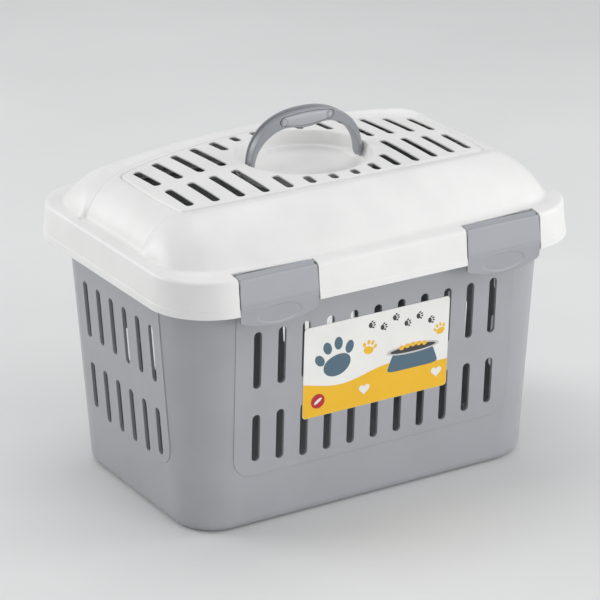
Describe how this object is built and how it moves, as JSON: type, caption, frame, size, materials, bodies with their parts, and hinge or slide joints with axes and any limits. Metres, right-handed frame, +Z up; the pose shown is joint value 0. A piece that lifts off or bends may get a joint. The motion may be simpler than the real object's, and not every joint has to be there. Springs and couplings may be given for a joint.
{
  "type": "pet carrier",
  "caption": "Small-animal plastic carrier: slotted tub, crowned slotted lid hinged and clipped by latches, bail handle folding into a round dish",
  "frame": {"origin": "middle of the tub's flat underside, on the ground", "axes": "+X along the long side to the right seen from the front, +Y from the front face to the back, +Z up"},
  "size_m": [0.42, 0.3046, 0.3364],
  "materials": {
    "tub_grey": "moulded polypropylene, satin gloss",
    "card": "printed card",
    "lid_white": "moulded polypropylene, satin gloss",
    "handle_grey": "moulded polypropylene, satin gloss",
    "grip_soft": "soft-touch insert",
    "stud_grey": "moulded polypropylene",
    "latch_grey": "moulded polypropylene, satin gloss"
  },
  "bodies": {
    "tub": {"bin": "tub_grey", "label_card": "card"},
    "cover": {"lid": "lid_white"},
    "bail": {"handle": "handle_grey", "front_grip_pad": "grip_soft", "front_stud_left": "stud_grey", "front_stud_right": "stud_grey", "back_grip_pad": "grip_soft", "back_stud_left": "stud_grey", "back_stud_right": "stud_grey"},
    "latch_fl": {"front_latch_left": "latch_grey"},
    "latch_fr": {"front_latch_right": "latch_grey"},
    "latch_rl": {"rear_latch_left": "latch_grey"},
    "latch_rr": {"rear_latch_right": "latch_grey"}
  },
  "joints": [
    {"name": "lid_hinge", "type": "hinge", "parent": "tub", "child": "cover", "pos_m": [0, 0.1449, 0.2228], "axis": [-1, 0, 0], "range_deg": [0, 72]},
    {"name": "bail_pivot", "type": "hinge", "parent": "cover", "child": "bail", "pos_m": [0, 0, 0.2884], "axis": [1, 0, 0], "range_deg": [-90, 90]},
    {"name": "front_latch_left_pivot", "type": "hinge", "parent": "cover", "child": "latch_fl", "pos_m": [-0.115, -0.1417, 0.2499], "axis": [-1, 0, 0], "range_deg": [0, 110]},
    {"name": "front_latch_right_pivot", "type": "hinge", "parent": "cover", "child": "latch_fr", "pos_m": [0.115, -0.1417, 0.2499], "axis": [-1, 0, 0], "range_deg": [0, 110]},
    {"name": "rear_latch_left_pivot", "type": "hinge", "parent": "cover", "child": "latch_rl", "pos_m": [-0.115, 0.1417, 0.2499], "axis": [1, 0, 0], "range_deg": [0, 110]},
    {"name": "rear_latch_right_pivot", "type": "hinge", "parent": "cover", "child": "latch_rr", "pos_m": [0.115, 0.1417, 0.2499], "axis": [1, 0, 0], "range_deg": [0, 110]}
  ]
}
